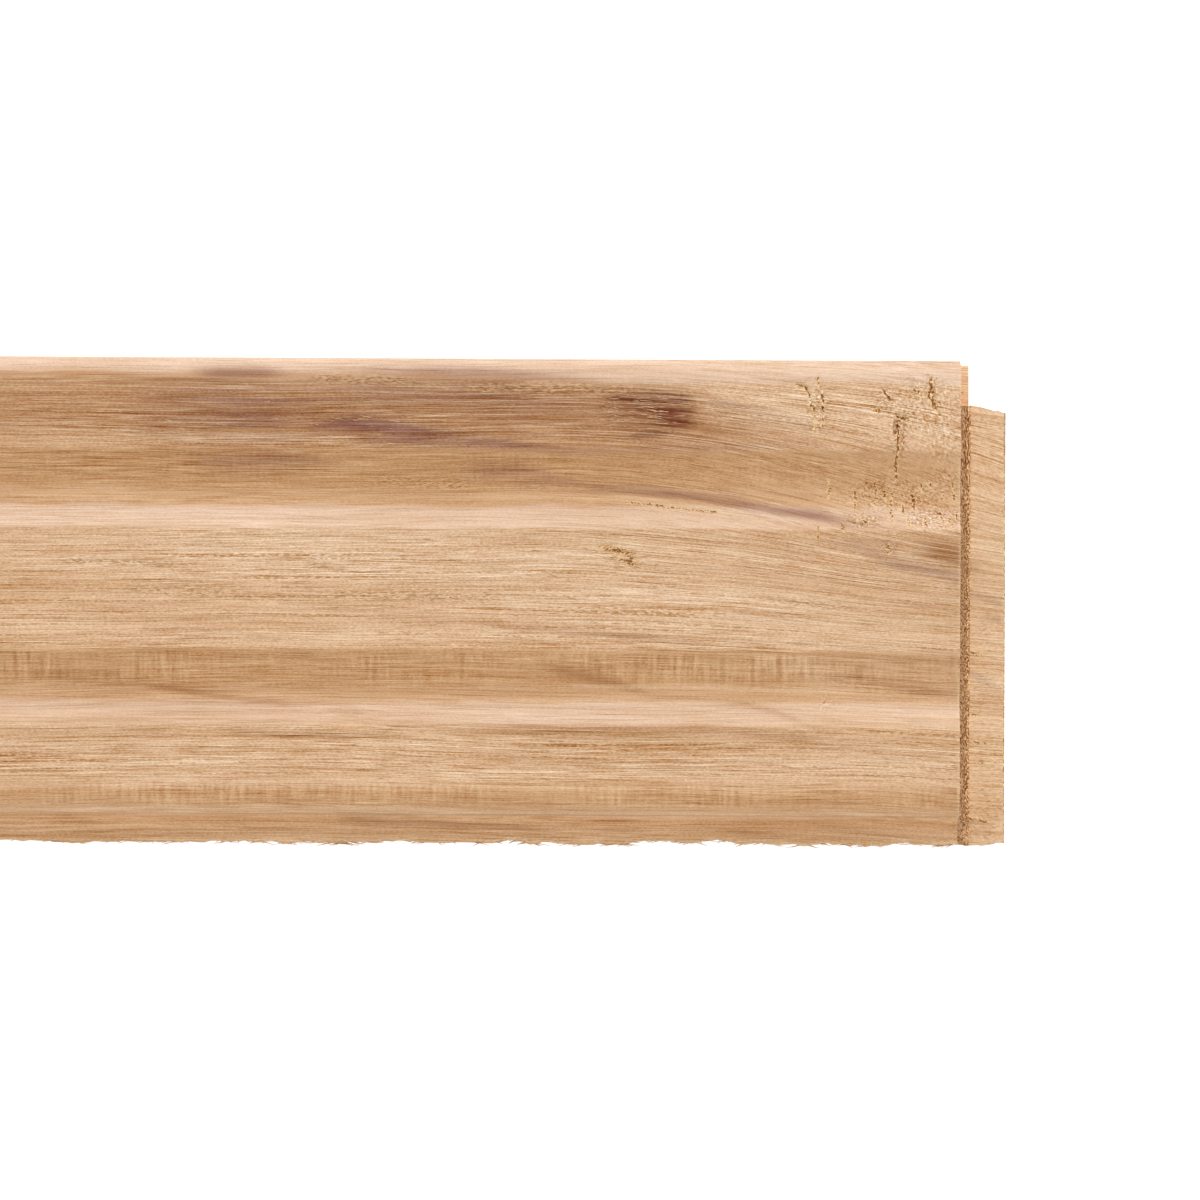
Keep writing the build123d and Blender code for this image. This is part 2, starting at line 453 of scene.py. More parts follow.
def section_ring():
    """The section's ring of points, each with its part of the board, from the near lip round."""
    ring = []

    def go(part, across, up):
        ring.extend((y, z, part) for y, z in np.broadcast(across, up))

    go(UNDERSIDE, spaced(GROOVED_SIDE, TORN_ZONE[0], 0.4), THICKNESS)
    go(UNDERSIDE, spaced(TORN_ZONE[0], TORN_ZONE[1], 0.34), THICKNESS)
    go(UNDERSIDE, spaced(TORN_ZONE[1], BACK_SHOULDER, 0.62) + [BACK_SHOULDER], THICKNESS)
    go(SHOULDER, BACK_SHOULDER, (18.0, TONGUE_TOP + SLOPE_HEIGHT))
    down = np.linspace(0, 1, 6)[1:]
    go(SHOULDER, BACK_SHOULDER - SIDE_UNDERCUT * down, TONGUE_TOP + SLOPE_HEIGHT * (1 - down))
    # The tongue is drawn one unit wide here and gets its ragged reach at each station
    go(TONGUE, -np.linspace(0, 0.7, 8)[1:], TONGUE_TOP)
    drops = TONGUE_ROUND * (1 - np.sin(np.radians((90, 60, 30, 0))))
    go(TONGUE, -1, TONGUE_TOP - drops)
    go(TONGUE, -1, (END_GROOVE_ROOF - 0.6, 11.8, 10.4))
    go(TONGUE, -1, TONGUE_BOTTOM + drops[::-1])
    go(TONGUE, (-0.7, -0.35), TONGUE_BOTTOM)
    go(FACE, FACE_SHOULDER, np.linspace(TONGUE_BOTTOM, EDGE_EASE, 5))
    face = np.linspace(FACE_SHOULDER + EDGE_EASE, GROOVED_SIDE - EDGE_EASE, 22)
    go(FACE, face[face <= GROOVE_FLOOR - 1], 0)
    go(FACE, [GROOVE_FLOOR], 0)
    go(FAR_LIP, np.linspace(GROOVE_FLOOR + 2, GROOVED_SIDE - EDGE_EASE, 4), 0)
    go(FAR_LIP, GROOVED_SIDE, np.linspace(EDGE_EASE, GROOVE_BOTTOM - MOUTH_EASE, 5))
    mouth = np.linspace(GROOVED_SIDE - MOUTH_EASE, GROOVE_FLOOR, 9)
    go(FAR_LIP, mouth[:-1], GROOVE_BOTTOM)
    go(GROOVE_WALL, GROOVE_FLOOR, np.linspace(GROOVE_BOTTOM, GROOVE_ROOF, 6))
    go(NEAR_LIP, mouth[::-1][1:], GROOVE_ROOF)
    go(NEAR_LIP, GROOVED_SIDE, np.linspace(GROOVE_ROOF + MOUTH_EASE, 17.6, 4))
    return ring


ring_y, ring_z, ring_part = np.array(section_ring(), float).T

BOARD, SLOPE, END_TONGUE = range(3)
# The rings stand closest where the photograph shows torn grain, and far apart beyond its left edge.
# Each run of rings has its start, its end, the step between rings and its part of the board.
OUT_OF_SIGHT = 250
IN_SIGHT = 276
TORN_START = BACK_END - 30
RUNS = [
    (GROOVED_END, GROOVED_END + 16, 8, BOARD),
    (GROOVED_END + 16, OUT_OF_SIGHT, 16, BOARD),
    (OUT_OF_SIGHT, IN_SIGHT, 2.5, BOARD),
    (IN_SIGHT, TORN_START, 1.3, BOARD),
    (TORN_START, BACK_END, 0.33, BOARD),
    (BACK_END, FACE_END, 0.3, SLOPE),
    (FACE_END, TIP - TIP_ROUND, 0.45, END_TONGUE),
]
stations = []
for start, end, step, kind in RUNS:
    stations += [(x, kind) for x in spaced(start, end, step)]
    if end in (BACK_END, FACE_END):
        stations.append((end, kind))
for angle in (0, 30, 60, 90):
    stations.append((TIP - TIP_ROUND * (1 - math.sin(math.radians(angle))), END_TONGUE))


def end_slope(x, y):
    """Height of the back shoulder's sloped foot, from its vertical part to the end tongue."""
    t = (x - BACK_END) / (FACE_END - BACK_END)
    rough = 0.07 * lattice_noise(y / 0.7, x / 0.8, 51) + 0.05 * lattice_noise(y / 0.33, x / 0.4, 52)
    return END_TONGUE_TOP + SLOPE_HEIGHT * (1 - t) + rough * rise(t, 0.0, 0.2) * (t < 0.95)


def station_points(x, kind, first):
    """One ring of the skin at x: the board's section, or what the end match leaves of it."""
    y = ring_y.copy()
    z = ring_z.copy()
    xs = np.full_like(y, x)
    tongue = ring_part == TONGUE
    reach = float(tongue_reach(np.array([x]))[0])
    edge = tongue & (ring_y <= -1)
    level = 0.18 * lattice_noise(np.full_like(y, x / 3.1), z / 1.4, 45)
    y[tongue] = FACE_SHOULDER + y[tongue] * reach
    over = np.abs(z - (TONGUE_TOP + TONGUE_BOTTOM) / 2) - (TONGUE_TOP - TONGUE_BOTTOM) / 2
    over = np.clip(over + TONGUE_ROUND, 0, TONGUE_ROUND)
    y[edge] += (TONGUE_ROUND - np.sqrt(TONGUE_ROUND**2 - over**2) + level)[edge]
    top = ring_part == UNDERSIDE
    z[top] = underside(xs[top], y[top])
    if x == FACE_END:
        xs[ring_z < FACE_TOP] += FACE_OVERHANG
    if kind == BOARD:
        return xs, y, z
    on_wall = (ring_part == GROOVE_WALL) | (ring_part == NEAR_LIP)
    lip = top & (y > GROOVE_FLOOR)
    if kind == SLOPE:
        limit = end_slope(xs, y)
        z = np.where(~on_wall & (z > limit), limit, z)
        wall_top = float(end_slope(np.array([x]), np.array([GROOVE_FLOOR]))[0])
        corner = GROOVE_FLOOR
        wall_bottom = GROOVE_BOTTOM
    else:
        t = (x - FACE_END) / (TIP - FACE_END)
        corner = GROOVE_FLOOR + 0.15 - 1.25 * t + 0.12 * float(
            lattice_noise(np.array([x / 0.6]), np.array([0.0]), 53)[0]
        )
        rounding = max(0.0, x - (TIP - TIP_ROUND)) / TIP_ROUND
        drop = TIP_ROUND * (1 - math.sqrt(max(0.0, 1 - rounding**2)))
        limit = END_TONGUE_TOP - drop
        z = np.where(z > limit, limit, z)
        z = np.where(z < TONGUE_BOTTOM + drop, TONGUE_BOTTOM + drop, z)
        wall_top = limit
        wall_bottom = TONGUE_BOTTOM + drop
        y = np.where(~on_wall & (y > corner), corner, y)
    # The near lip's points, and the groove's wall, run down the wall beside the end tongue
    walls_and_lip = (ring_part == GROOVE_WALL, ring_part == NEAR_LIP, lip)
    order = np.concatenate([np.nonzero(chosen)[0] for chosen in walls_and_lip])
    count = len(order)
    if kind == SLOPE and first:
        walls = ring_part[order] == GROOVE_WALL
        heights = np.empty(count)
        heights[walls] = z[order[walls]]
        heights[~walls] = np.linspace(GROOVE_ROOF, wall_top, (~walls).sum() + 1)[1:]
        heights[-1] = wall_top
    else:
        heights = np.linspace(wall_bottom, wall_top, count)
    y[order] = corner
    z[order] = heights
    if kind == END_TONGUE:
        far = ring_part == FAR_LIP
        y[far] = corner
        z[far] = wall_bottom
    return xs, y, z


rings = []
previous = None
for x, kind in stations:
    rings.append(np.stack(station_points(x, kind, kind != previous), axis=1))
    previous = kind
skin = np.array(rings)
# The out-of-square cut skews the last rings
skew = rise(skin[:, :, 0], BACK_END - SKEWED_LENGTH, BACK_END - 2)
skin[:, :, 0] -= OUT_OF_SQUARE * skin[:, :, 1] * skew

station_count, ring_count = skin.shape[:2]
board_mesh = bpy.data.meshes.new("floorboard_wood")
faces = []
for i in range(station_count - 1):
    for j in range(ring_count):
        k = (j + 1) % ring_count
        a = i * ring_count
        b = a + ring_count
        faces.append((a + j, b + j, b + k, a + k))
faces.append(tuple(range(ring_count)))
faces.append(tuple((station_count - 1) * ring_count + j for j in range(ring_count))[::-1])
board_mesh.from_pydata(skin.reshape(-1, 3) * MM, [], faces)
board = placed("floorboard_wood", board_mesh)

work = bmesh.new()
work.from_mesh(board_mesh)
bmesh.ops.remove_doubles(work, verts=work.verts, dist=1e-7)
bmesh.ops.dissolve_degenerate(work, edges=work.edges, dist=1e-7)

# The end groove, cut across the other end, where the photograph doesn't reach. Its back lip is
# cut a little shorter than the face, so that the faces of two boards meet first.
groove_floor = GROOVED_END + END_GROOVE_DEPTH
for at, across, reach in (
    ((groove_floor, 0, 0), (1, 0, 0), groove_floor + 6),
    ((0, 0, END_GROOVE_ROOF), (0, 0, 1), groove_floor),
    ((0, 0, GROOVE_BOTTOM), (0, 0, 1), groove_floor),
):
    near = [f for f in work.faces if max(v.co.x for v in f.verts) < (reach + 0.001) * MM]
    parts = set(near) | {e for f in near for e in f.edges} | {v for f in near for v in f.verts}
    bmesh.ops.bisect_plane(
        work, geom=list(parts), plane_co=[c * MM for c in at], plane_no=across, dist=1e-8
    )
waste = [
    f for f in work.faces
    if f.calc_center_median().x < (groove_floor - 0.001) * MM
    and (GROOVE_BOTTOM + 0.001) * MM < f.calc_center_median().z < (END_GROOVE_ROOF - 0.001) * MM
]
bmesh.ops.delete(work, geom=waste, context="FACES")
rim = {v for e in work.edges if len(e.link_faces) == 1 for v in e.verts}
for axis, level, first, second in (
    (2, END_GROOVE_ROOF, 0, 1), (2, GROOVE_BOTTOM, 0, 1), (0, groove_floor, 1, 2)
):
    flat = [v for v in rim if abs(v.co[axis] - level * MM) < 1e-7]
    middle = sum((v.co for v in flat), flat[0].co * 0) / len(flat)
    flat.sort(key=lambda v: math.atan2(v.co[second] - middle[second], v.co[first] - middle[first]))
    work.faces.new(flat)
for v in work.verts:
    if v.co.x < (GROOVED_END + 0.001) * MM and v.co.z > (END_GROOVE_ROOF - 0.001) * MM:
        v.co.x += END_LIP_SETBACK * MM
bmesh.ops.recalc_face_normals(work, faces=work.faces)
work.to_mesh(board_mesh)
work.free()

# The wood itself. The board was sawn where pale sapwood meets purple-brown heartwood, so it
# carries long stains that follow the grain. The grain runs level at first and dives across the
# board towards the tongued end.
# Each stain is a row of places: millimetres back from the back shoulder, down from the grooved
# side, half its width, and how strong it is there. Open pores stand in rows of the same kind.
HEARTWOOD = [
    [(139, 2.8, 0.8, 0), (133, 2.8, 1, 0.6), (124, 2.9, 1, 0.6), (117, 3.3, 0.7, 0)],
    [(110, 2.4, 0.7, 0), (103, 2.3, 1, 0.55), (92, 2.4, 1.1, 0.6), (80, 2.9, 0.9, 0.5), (60, 3.8, 0.7, 0)],
    [(150, 9.4, 3.9, 0), (139, 9, 4.2, 0.5), (128, 9, 4.6, 0.85), (114, 7.6, 3.6, 0.45), (96, 6, 3.2, 0.6),
     (82, 7, 3.5, 0.6), (71, 8.1, 3.2, 0.35), (57, 9.8, 2.7, 0.15), (46, 10.7, 2.1, 0)],
    [(140, 13.2, 1, 0), (133, 13, 1.4, 0.6), (122, 13.6, 1.2, 0.7), (115, 14, 0.8, 0.2),
     (112, 14, 0.6, 0)],
    [(119, 13.4, 0.6, 0), (116, 13, 1, 0.8), (111, 12.2, 1.7, 1.1), (106, 12, 2.3, 1.3),
     (100, 12.8, 2.2, 1.2), (95, 13.9, 1.5, 1.1), (86, 14.8, 1.1, 0.9), (78, 15.6, 0.8, 0.8),
     (71, 16.4, 0.7, 0.6), (57, 15.8, 0.7, 0.45), (46, 16, 0.7, 0.4), (28, 15.2, 0.7, 0.15),
     (0, 17.4, 0.6, 0)],
    [(140, 18.2, 1.4, 0), (132, 18.5, 2, 0.5), (122, 18.8, 2, 0.6), (115, 18.6, 1.2, 0.35),
     (108, 18.6, 0.8, 0)],
    [(92, 20.4, 1.2, 0), (85, 20.2, 1.8, 0.4), (78, 20.6, 1.7, 0.5), (71, 21.8, 0.8, 0.6),
     (66, 22.7, 0.7, 0.6), (57, 23.2, 0.9, 0.7), (42, 25.1, 0.9, 0.8), (33, 26.9, 0.7, 0.8),
     (25, 27.8, 0.9, 0.75), (21, 28.9, 0.7, 0.5), (12, 30.3, 0.5, 0)],
    [(26, 31.8, 0.5, 0), (19, 33.3, 0.9, 0.5), (13.5, 35.4, 1.1, 0.6), (10, 36.6, 1.1, 0.65),
     (5, 37.4, 1.1, 0.6), (0, 38.8, 1.1, 0.7), (-2, 40, 0.7, 0.6), (-8, 41.9, 0.5, 0.5)],
    [(48, 7.1, 0.9, 0), (43, 8.2, 1.1, 0.4), (35, 9.7, 0.9, 0.4), (28, 11.5, 0.7, 0.3),
     (21, 12.9, 0.5, 0)],
    [(-1.5, 54.2, 0.8, 0), (-2.2, 54.6, 0.8, 0.35), (-6, 56.4, 0.7, 0.3), (-8, 57.2, 0.7, 0.2)],
    [(-3.8, 43.4, 0.6, 0), (-5.6, 44.2, 0.6, 0.3), (-8, 44.9, 0.7, 0.4)],
]
BROWN_STREAKS = [
    [(155.8, 4.3, 0.4, 0), (153.1, 4.5, 0.4, 0.6), (144.2, 4.2, 0.4, 0.8), (131.8, 4.3, 0.4, 0.7),
     (124.6, 4.7, 0.4, 0.3), (117.5, 5.3, 0.4, 0)],
    [(10.6, 32.4, 1.1, 0), (6, 33.3, 1.6, 0.7), (3.5, 34, 1.9, 1.2), (0.3, 34.7, 2, 1.3),
     (-2.8, 35.4, 1.4, 0.3), (-5.4, 35.9, 1.4, 0)],
    [(21.3, 31.9, 0.5, 0), (17.7, 32.1, 0.7, 0.5), (12.4, 32.6, 0.7, 0.6), (9.7, 32.9, 0.9, 0.4),
     (7, 33.3, 0.9, 0)],
    [(147.8, 58.2, 0.5, 0), (144.2, 58.7, 0.5, 0.4), (137.6, 59.6, 0.6, 0.6), (128, 61, 0.5, 0.5),
     (120.9, 61.8, 0.5, 0.3), (117.5, 62.4, 0.5, 0)],
    [(76.5, 54.3, 0.5, 0), (73, 55, 0.7, 0.5), (66.4, 56.6, 1.1, 0.6), (62.3, 57.6, 1.1, 0.6),
     (59.1, 58.7, 0.7, 0.6), (55.1, 59.9, 0.5, 0.4), (45.7, 60.7, 0.4, 0.3), (37.7, 61.6, 0.4, 0.4),
     (32.9, 62.8, 0.5, 0.4), (24.9, 66, 0.5, 0.3), (17.7, 66.8, 0.5, 0)],
    [(30.2, 56.2, 0.5, 0), (24, 56.3, 0.7, 0.3), (17.7, 56.8, 0.7, 0.5), (14.5, 57.4, 0.7, 0.5),
     (7, 58.6, 0.7, 0.5), (0.3, 59.8, 0.9, 0.3)],
    [(130.9, 67.1, 0.4, 0), (127.7, 67, 0.4, 0.8), (118.4, 67.2, 0.4, 0.7), (114.7, 67.1, 0.6, 0.6),
     (104.1, 67.3, 0.7, 0.5), (99.7, 65.6, 0.5, 0.4), (92.6, 66.1, 0.7, 0.4), (71.2, 66.4, 1.1, 0.7),
     (56.9, 66.5, 1.1, 0.7), (46.2, 66.1, 0.9, 0.5), (37.7, 66.6, 0.9, 0.5), (28.4, 67.9, 1.2, 0.4),
     (17.7, 69, 1.4, 0)],
    [(112, 81.5, 0.5, 0), (107, 81.8, 0.6, 0.6), (96, 82.1, 0.6, 0.5), (85, 82.6, 0.5, 0.6),
     (78, 82.9, 0.4, 0.5), (70, 83.4, 0.4, 0)],
    [(48, 82.4, 0.3, 0), (38, 83.4, 0.4, 0.3), (30, 84.2, 0.3, 0)],
    [(30, 82, 0.3, 0), (22, 82.6, 0.4, 0.3), (8, 84, 0.3, 0.1)],
    [(167.4, 56.2, 1.1, 0), (163.8, 56.9, 1.4, 0.3), (156.7, 57.2, 1.6, 0.4), (149.6, 57.9, 1.2, 0.3),
     (144.2, 58.6, 0.9, 0)],
    [(3.8, 76.4, 0.4, 0), (1.7, 76.7, 0.4, 0.7), (0.3, 76.9, 0.5, 0.9)],
    [(99.7, 46.2, 0.5, 0), (90.8, 46.5, 0.5, 0.3), (80.6, 47.7, 0.5, 0.5), (66.4, 48.9, 0.6, 0.6),
     (56.9, 49.6, 0.6, 0.7), (48, 50.4, 0.5, 0.5), (42.7, 50.7, 0.5, 0)],
    [(117.5, 44.2, 0.7, 0), (110.4, 44.9, 0.9, 0.3), (99.7, 45.9, 0.7, 0.3), (92.6, 46.5, 0.7, 0.2),
     (87.2, 46.9, 0.7, 0)],
]
WARM_AREAS = [
    [(190, 19, 3.4, 0.3), (171, 19, 3.4, 0.5), (144, 19.5, 3.6, 0.8), (117, 19, 4, 0.9),
     (100, 19.5, 4.2, 0.9), (78, 18.3, 4, 0.8), (64, 20.6, 3.6, 0.5), (46, 19.6, 3.8, 0.1),
     (0, 22.5, 4.4, 0.1)],
    [(200, 8.6, 5.4, 0.4), (171, 8.6, 5.4, 0.7), (144, 9, 5.6, 0.8), (100, 9.4, 5.8, 0.9),
     (71, 10.4, 6.2, 1.1), (57, 11, 6, 1.1), (46, 12, 4.8, 0.8), (37, 13.5, 3.2, 0.5),
     (28, 14.4, 2.6, 0.2), (20, 15, 2.4, 0)],
    [(200, 60, 4.5, 0.5), (130, 60, 4.5, 0.5), (108, 60, 3.5, 0.2), (80, 60, 3, 0.3), (58, 60, 3, 0)],
    [(200, 2, 3, 0.35), (150, 1.8, 3, 0.6), (128, 1.8, 3, 0.6), (112, 2, 2, 0)],
]
OPEN_PORES = [
    [(118, 3.6, 0.6, 0), (113, 3.8, 0.7, 1), (100, 4.2, 0.7, 1), (95, 4.3, 0.5, 0)],
    [(92, 4.6, 0.7, 0), (86, 4.9, 0.9, 1), (71, 5.4, 0.9, 1), (60, 5.6, 0.8, 0.8), (52, 5.8, 0.6, 0)],
    [(106, 21.6, 0.6, 0), (103, 21.8, 0.7, 1), (90, 22.4, 0.9, 1), (84, 22.6, 0.6, 0)],
    [(79, 22.7, 0.4, 0), (76, 22.9, 0.5, 1), (73, 22.9, 0.4, 0)],
    [(162, 36.4, 0.5, 0), (158, 36.5, 0.5, 1), (140, 36.9, 0.5, 0.8), (134, 37, 0.4, 0)],
    [(118, 36.8, 0.4, 0), (115, 36.9, 0.5, 0.9), (108, 37, 0.4, 0)],
    [(150, 41.4, 0.6, 0), (146, 41.5, 0.8, 0.8), (128, 42.2, 0.7, 0.8), (123, 42.4, 0.5, 0)],
    [(114, 42.2, 0.6, 0), (110, 42.2, 0.7, 0.8), (84, 42.8, 0.7, 0.8), (79, 43, 0.5, 0)],
    [(34, 42.6, 0.5, 0), (31, 43, 0.6, 0.8), (22, 44, 0.6, 0.8), (18, 44.4, 0.5, 0)],
    [(20, 58, 0.8, 0), (17, 58.4, 0.8, 0.4), (5, 59.6, 0.8, 0.3), (3, 59.8, 0.8, 0)],
]
MINERAL_PATCH = [
    [(65, 9, 2, 0), (61, 9.2, 2.6, 0.3), (54, 9.6, 3, 0.6), (49, 9.6, 2.6, 0.5), (46.5, 9.8, 2.2, 0)],
    [(63.5, 7, 0.7, 0), (61.9, 7, 0.9, 0.9), (55.1, 7, 1, 1), (48.9, 7.1, 0.9, 0.8), (47, 7.3, 0.7, 0)],
    [(59.6, 8.8, 0.7, 0), (56.9, 9.1, 0.9, 0.8), (51.6, 9.4, 0.9, 1), (48.4, 9.3, 0.7, 0.6),
     (47, 9.2, 0.7, 0)],
    [(58.7, 11.4, 0.7, 0), (55.1, 11.1, 0.9, 0.6), (51.6, 11.1, 1.1, 0.9), (48.7, 11.2, 0.9, 0.8),
     (47.3, 11.2, 0.7, 0)],
    [(60.5, 13.2, 0.5, 0), (57.8, 13.4, 0.7, 0.5), (53.4, 13.2, 0.7, 0.5), (49.8, 12.8, 0.5, 0)],
]
PALE_BANDS = [
    [(200, 35.5, 3.2, 0.2), (144, 34.5, 4.3, 0.5), (90, 36.3, 4.8, 1.1), (64, 38.6, 4.6, 0.8),
     (46, 41, 4, 0.7), (28, 44.5, 3.4, 0.5), (5, 48, 2.8, 0.3)],
    [(118, 47.5, 2.7, 0), (90, 48.5, 2.8, 0.5), (60, 46.6, 3.5, 0.8), (40, 47.4, 3.2, 0.7),
     (10, 50.3, 2.4, 0.3)],
    [(58, 54.2, 2.6, 0), (45, 54.2, 2.8, 0.5), (0, 54.6, 2.8, 0.4)],
    # This row, the pale line along the tongue side's edge, is partly smoothed wood and partly painted
    # sheen
    [(200, 80.2, 1, 0.4), (120, 80.2, 1, 0.2), (90, 80.4, 1.1, 0.6), (60, 80.4, 1.1, 0.5),
     (40, 80.4, 0.9, 0)],
    [(160, 76.4, 2, 0), (140, 76.4, 2.4, 0.5), (118, 76.4, 2, 0)],
    [(110, 31, 2, 0), (90, 31.4, 2.6, 0.5), (60, 32, 2.4, 0.4), (40, 33, 2, 0.3), (0, 36, 2, 0.3)],
    [(200, 71, 3, 0.5), (150, 70.6, 3.2, 0.4), (118, 71, 2.9, 0.1), (64, 71.4, 2.7, 0.3),
     (28, 72.4, 3, 0.5), (0.3, 73, 3.2, 0.5)],
    [(62, 7.6, 3, 0), (44, 7.3, 4.2, 0.6), (20, 9.6, 4.6, 0.7), (0.3, 11.2, 5.2, 0.6)],
    [(96, 1.6, 1.9, 0), (80, 1.9, 2.4, 0.6), (40, 2, 2.8, 0.9), (0.3, 2, 2.8, 0.9)],
]
RING_LEAN = 0.31


def stains(x, y, several):
    """The strongest of several stains at each point of the underside."""
    total = np.zeros_like(x)
    back = BACK_END - x
    for rows in several:
        places, middles, widths, strengths = np.array(rows)[::-1].T
        off = np.abs(GROOVED_SIDE - y - np.interp(back, places, middles))
        fade = np.exp(-0.7 * (off / np.interp(back, places, widths)) ** 2.4)
        total = np.maximum(total, fade * np.interp(back, places, strengths, left=0, right=0))
    return total


def grain_drift(x, y):
    """How far the grain has sunk across the board by x, because it dives near the tongued end."""
    start, end = BACK_END - 88, BACK_END - 8
    t = np.clip((x - start) / (end - start), 0, 1)
    run = (end - start) * (t**3 - t**4 / 2) + np.maximum(x - end, 0)
    steepness = 0.05 + 0.2 * np.exp(-(((y - 17) / 17) ** 2))
    wander = 0.7 * lattice_noise(x / 55, y / 30, 61) + 0.25 * lattice_noise(x / 19, y / 8, 62)
    return steepness * run + wander


def paint(name, values):
    """Stores a value or a place for each point of the board, for its material to read."""
    kind, key = ("FLOAT", "value") if values.ndim == 1 else ("FLOAT_VECTOR", "vector")
    layer = board_mesh.attributes.new(name, kind, "POINT")
    layer.data.foreach_set(key, np.ascontiguousarray(values, dtype=np.float32).ravel())


corners = np.empty(len(board_mesh.vertices) * 3, np.float32)
board_mesh.vertices.foreach_get("co", corners)
px, py, pz = corners.reshape(-1, 3).astype(float).T / MM
leaned = py + RING_LEAN * np.maximum(THICKNESS - pz - 1.2, 0)
paint("wood_space", np.stack([px, leaned + grain_drift(px, leaned), pz], axis=1))
for name, several in (
    ("heartwood", HEARTWOOD), ("brown", BROWN_STREAKS), ("warm", WARM_AREAS),
    ("open_pores", OPEN_PORES), ("mineral", MINERAL_PATCH), ("pale", PALE_BANDS),
):
    paint(name, stains(px, leaned, several))

# What the cutters did to each part of the underside, and its painted highlight and painted shade
on_top = (pz > THICKNESS - 2.5).astype(float)
highlight_and_burnish, shaded = smoothing_and_shading_masks(px, py)
squared = px + OUT_OF_SQUARE * py
paint("land", land_mask(px, py) * on_top)
paint("chatter", chatter_mask(px, py) * on_top)
paint("highlight_and_burnish", highlight_and_burnish * on_top)
paint("shaded", shaded * on_top)
paint("crumbled", crumbled(px, py) * on_top)
paint("arris", rise(squared, BACK_END - 0.5, BACK_END - 0.05) * on_top)
paint("tear", tear_marks(px, py) * (pz > TONGUE_BOTTOM + 2))

# The end match, and the end tongue's dark tip
past_back = squared > BACK_END + 0.05
past_face = squared > FACE_END - 0.05
on_slope = past_back * (squared < FACE_END - 0.1)
tip = rise(squared, TIP - 0.4, TIP - 0.1) * (1 - rise(GROOVED_SIDE - py, 13, 22))
paint("tongue", (py < BACK_SHOULDER - 0.3) * (px < FACE_END) * (pz > 8.0))
paint("foot", np.clip((squared - BACK_END) / (FACE_END - BACK_END), 0, 1))
paint("cut_tongue", on_slope * (py < BACK_SHOULDER) * (pz > TONGUE_TOP - 1.5))
paint("far_lip", past_back * (py > GROOVE_FLOOR - 0.1) * (pz < GROOVE_BOTTOM + 0.1))
paint("end_tongue", past_face * (pz > TONGUE_BOTTOM - 0.1))
paint("tip", tip * (pz > TONGUE_TOP - 3))


def srgb(red, green, blue):
    """A colour from its screen values, 0 to 255, with full alpha."""
    def linear(value):
        value /= 255
        return value / 12.92 if value <= 0.04045 else ((value + 0.055) / 1.055) ** 2.4
    return (linear(red), linear(green), linear(blue), 1)


# Grain lines: long thin marks that run along the grain, as a mask. Every kind of line in the
# wood is this group, with its own length, width and share of the surface.
LINE_SETTINGS = {"Length": 12.0, "Width": 0.25, "Detail": 2.0, "Shift": 0.0, "From": 0.5, "To": 0.7}
lines_tree = bpy.data.node_groups.new("grain_lines", "ShaderNodeTree")
sockets = lines_tree.interface
sockets.new_socket("Wood Space", in_out="INPUT", socket_type="NodeSocketVector")
for name, usual in LINE_SETTINGS.items():
    setting = sockets.new_socket(name, in_out="INPUT", socket_type="NodeSocketFloat")
    setting.default_value = usual
for name in ("Mask", "Noise"):
    sockets.new_socket(name, in_out="OUTPUT", socket_type="NodeSocketFloat")
given = lines_tree.nodes.new("NodeGroupInput").outputs
along, across = [
    node(lines_tree, "Math", {0: 1.0, 1: given[name]}, operation="DIVIDE")
    for name in ("Length", "Width")
]
stretch = node(lines_tree, "CombineXYZ", {"X": along, "Y": across, "Z": across})
place = given["Wood Space"]
for operation, change in (("MULTIPLY", stretch), ("ADD", given["Shift"])):
    place = node(lines_tree, "VectorMath", {0: place, 1: change}, operation=operation)
line_noise = node(
    lines_tree, "TexNoise",
    {"Vector": place, "Scale": 1.0, "Detail": given["Detail"], "Roughness": 0.6}, "Fac",
)
line_mask = node(
    lines_tree, "MapRange",
    {"Value": line_noise, "From Min": given["From"], "From Max": given["To"]},
    interpolation_type="SMOOTHSTEP",
)
node(lines_tree, "NodeGroupOutput", {"Mask": line_mask, "Noise": line_noise})

wood = bare_material("bare_hardwood")
wood_tree = wood.node_tree
space = node(wood_tree, "Attribute", {}, "Vector", attribute_name="wood_space")


def painted(name):
    """The value that was stored on the board under this name."""
    return node(wood_tree, "Attribute", {}, "Fac", attribute_name=name)


def grain_lines(length, width, low, high, shift, detail=2.0, output="Mask"):
    """One kind of grain line as a mask, or the noise that it comes from."""
    values = {
        "Wood Space": space, "Length": length, "Width": width, "Detail": detail,
        "Shift": shift, "From": low, "To": high,
    }
    return node(wood_tree, "Group", values, output, node_tree=lines_tree)


def noise(vector, detail, **more):
    """Plain noise at a place in the wood."""
    values = {"Vector": vector, "Scale": 1.0, "Detail": detail} | more
    return node(wood_tree, "TexNoise", values, "Fac")


def laid(colour, amount, above, mode="MIX"):
    """A colour with another one laid over it by a mask."""
    values = {0: amount, 6: colour, 7: above}
    return node(wood_tree, "Mix", values, 2, data_type="RGBA", blend_type=mode)


def joined(operation):
    """Arithmetic on two masks, as a function of them."""
    def of(first, second):
        return node(wood_tree, "Math", {0: first, 1: second}, operation=operation)
    return of


plus = joined("ADD")
minus = joined("SUBTRACT")
times = joined("MULTIPLY")
larger = joined("MAXIMUM")


def ramp(value, low, high, shape="SMOOTHSTEP"):
    """0 below low, 1 above high and a rise between them."""
    values = {"Value": value, "From Min": low, "From Max": high}
    return node(wood_tree, "MapRange", values, interpolation_type=shape)


def noise_about_zero(length, width, shift, detail):
    """Grain noise from about -0.3 to 0.3, stretched along the grain."""
    return minus(grain_lines(length, width, 0, 1, shift, detail, "Noise"), 0.5)


